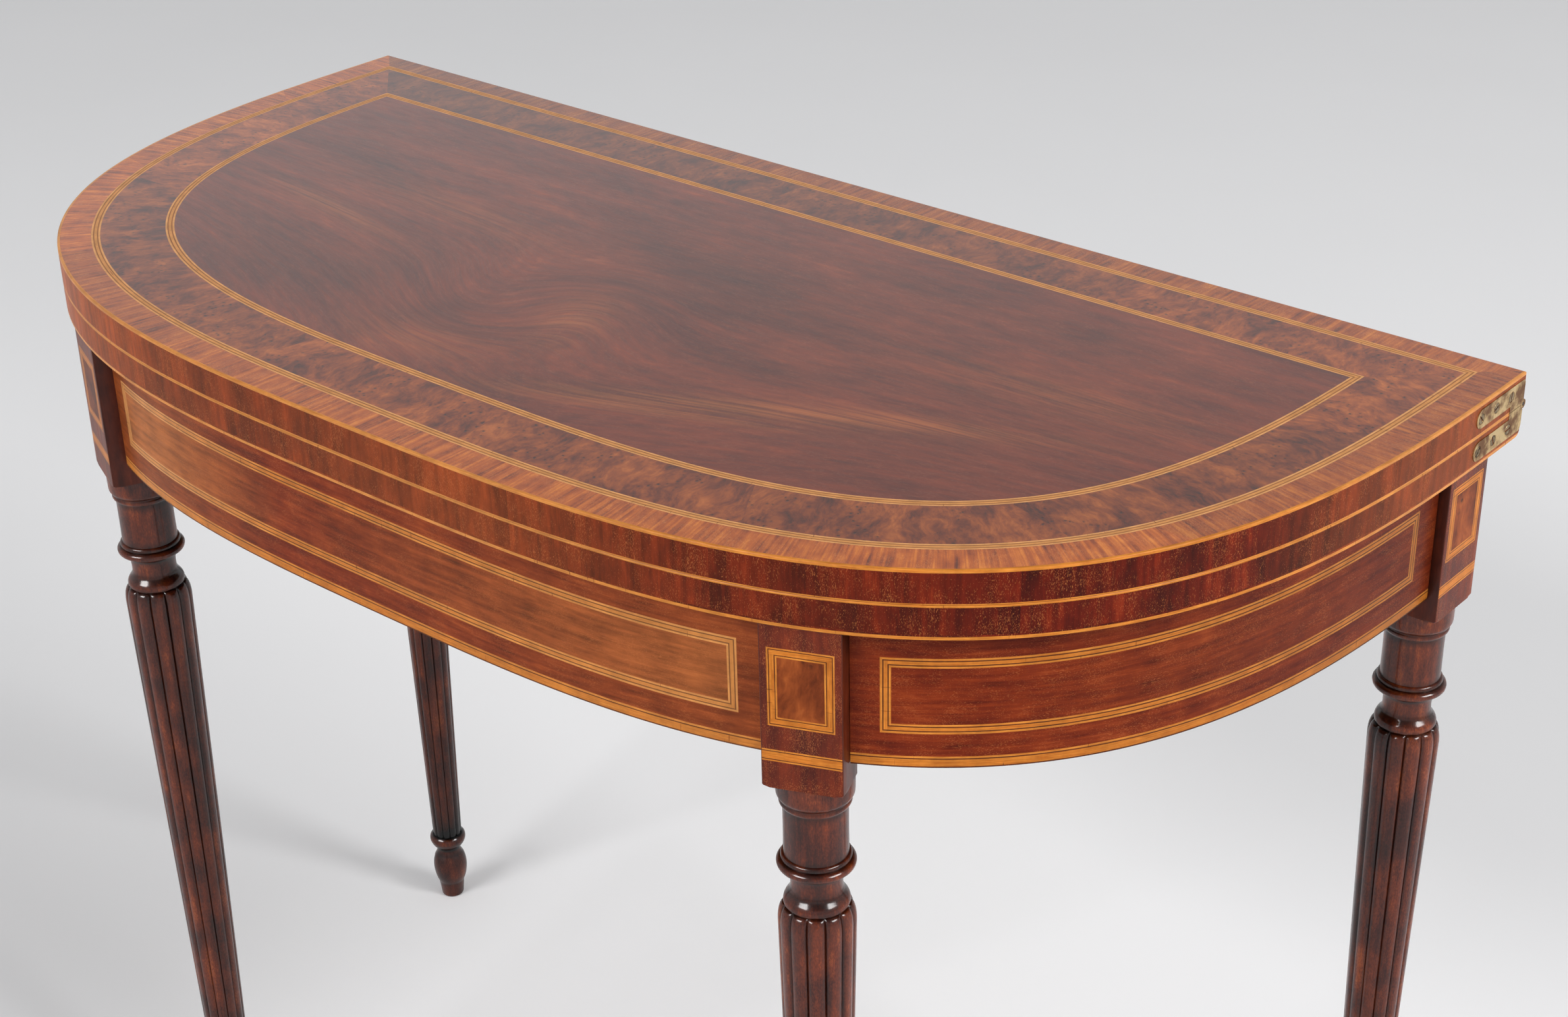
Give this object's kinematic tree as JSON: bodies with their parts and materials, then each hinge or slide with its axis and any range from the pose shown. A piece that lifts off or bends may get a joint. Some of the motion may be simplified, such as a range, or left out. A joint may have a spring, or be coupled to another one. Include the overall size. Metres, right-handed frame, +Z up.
{
  "type": "folding card table",
  "caption": "D-shaped mahogany card table with inlaid banding, a fold-over top on brass hinges and reeded legs, the rear ones swinging out on fly rails.",
  "frame": {"origin": "on the floor, under the middle of the closed table's box", "axes": "+X to the right along the table's width, -Y to the curved front, +Y to the straight hinged back, +Z up"},
  "size_m": [0.9206, 0.449, 0.728],
  "materials": {
    "top_veneer": "french-polished mahogany veneer with burr and boxwood banding",
    "rail_veneer": "polished mahogany veneer with satinwood stringing",
    "leg_mahogany": "polished dark mahogany",
    "secondary_wood": "bare planed wood",
    "brass": "aged brass",
    "iron": "dull iron",
    "baize": "wool baize"
  },
  "bodies": {
    "frame": {"back_rail": "secondary_wood", "front_left_leg": "leg_mahogany", "front_rail": "rail_veneer", "front_right_leg": "leg_mahogany", "knuckle_block": "secondary_wood", "left_back_cleat": "secondary_wood", "left_back_cleat_screw": "iron", "left_corner_block": "secondary_wood", "left_front_cleat": "secondary_wood", "left_front_cleat_screw": "iron", "left_hinge_pin": "iron", "left_knuckle_block_screw": "iron", "left_knuckle_pin": "iron", "left_lower_hinge_plate": "brass", "left_lower_hinge_screw_1": "brass", "left_lower_hinge_screw_2": "brass", "left_lower_hinge_screw_3": "brass", "left_side_cleat": "secondary_wood", "left_side_cleat_screw": "iron", "left_side_rail": "rail_veneer", "lower_baize": "baize", "lower_leaf": "top_veneer", "medial_brace": "secondary_wood", "right_back_cleat": "secondary_wood", "right_back_cleat_screw": "iron", "right_corner_block": "secondary_wood", "right_front_cleat": "secondary_wood", "right_front_cleat_screw": "iron", "right_hinge_pin": "iron", "right_knuckle_block_screw": "iron", "right_knuckle_pin": "iron", "right_lower_hinge_plate": "brass", "right_lower_hinge_screw_1": "brass", "right_lower_hinge_screw_2": "brass", "right_lower_hinge_screw_3": "brass", "right_side_cleat": "secondary_wood", "right_side_cleat_screw": "iron", "right_side_rail": "rail_veneer"},
    "folding_leaf": {"left_upper_hinge_plate": "brass", "left_upper_hinge_screw_1": "brass", "left_upper_hinge_screw_2": "brass", "left_upper_hinge_screw_3": "brass", "right_upper_hinge_plate": "brass", "right_upper_hinge_screw_1": "brass", "right_upper_hinge_screw_2": "brass", "right_upper_hinge_screw_3": "brass", "upper_baize": "baize", "upper_leaf": "top_veneer"},
    "left_gate": {"left_fly_rail": "secondary_wood", "rear_left_leg": "leg_mahogany"},
    "right_gate": {"rear_right_leg": "leg_mahogany", "right_fly_rail": "secondary_wood"}
  },
  "joints": [
    {"name": "leaf_fold", "type": "hinge", "parent": "frame", "child": "folding_leaf", "pos_m": [0, 0.2218, 0.70885], "axis": [-1, 0, 0], "range_deg": [0, 180]},
    {"name": "left_gate_swing", "type": "hinge", "parent": "frame", "child": "left_gate", "pos_m": [-0.075, 0.1705, 0.6529], "axis": [0, 0, -1], "range_deg": [0, 90]},
    {"name": "right_gate_swing", "type": "hinge", "parent": "frame", "child": "right_gate", "pos_m": [0.075, 0.1705, 0.6529], "axis": [0, 0, 1], "range_deg": [0, 90]}
  ]
}
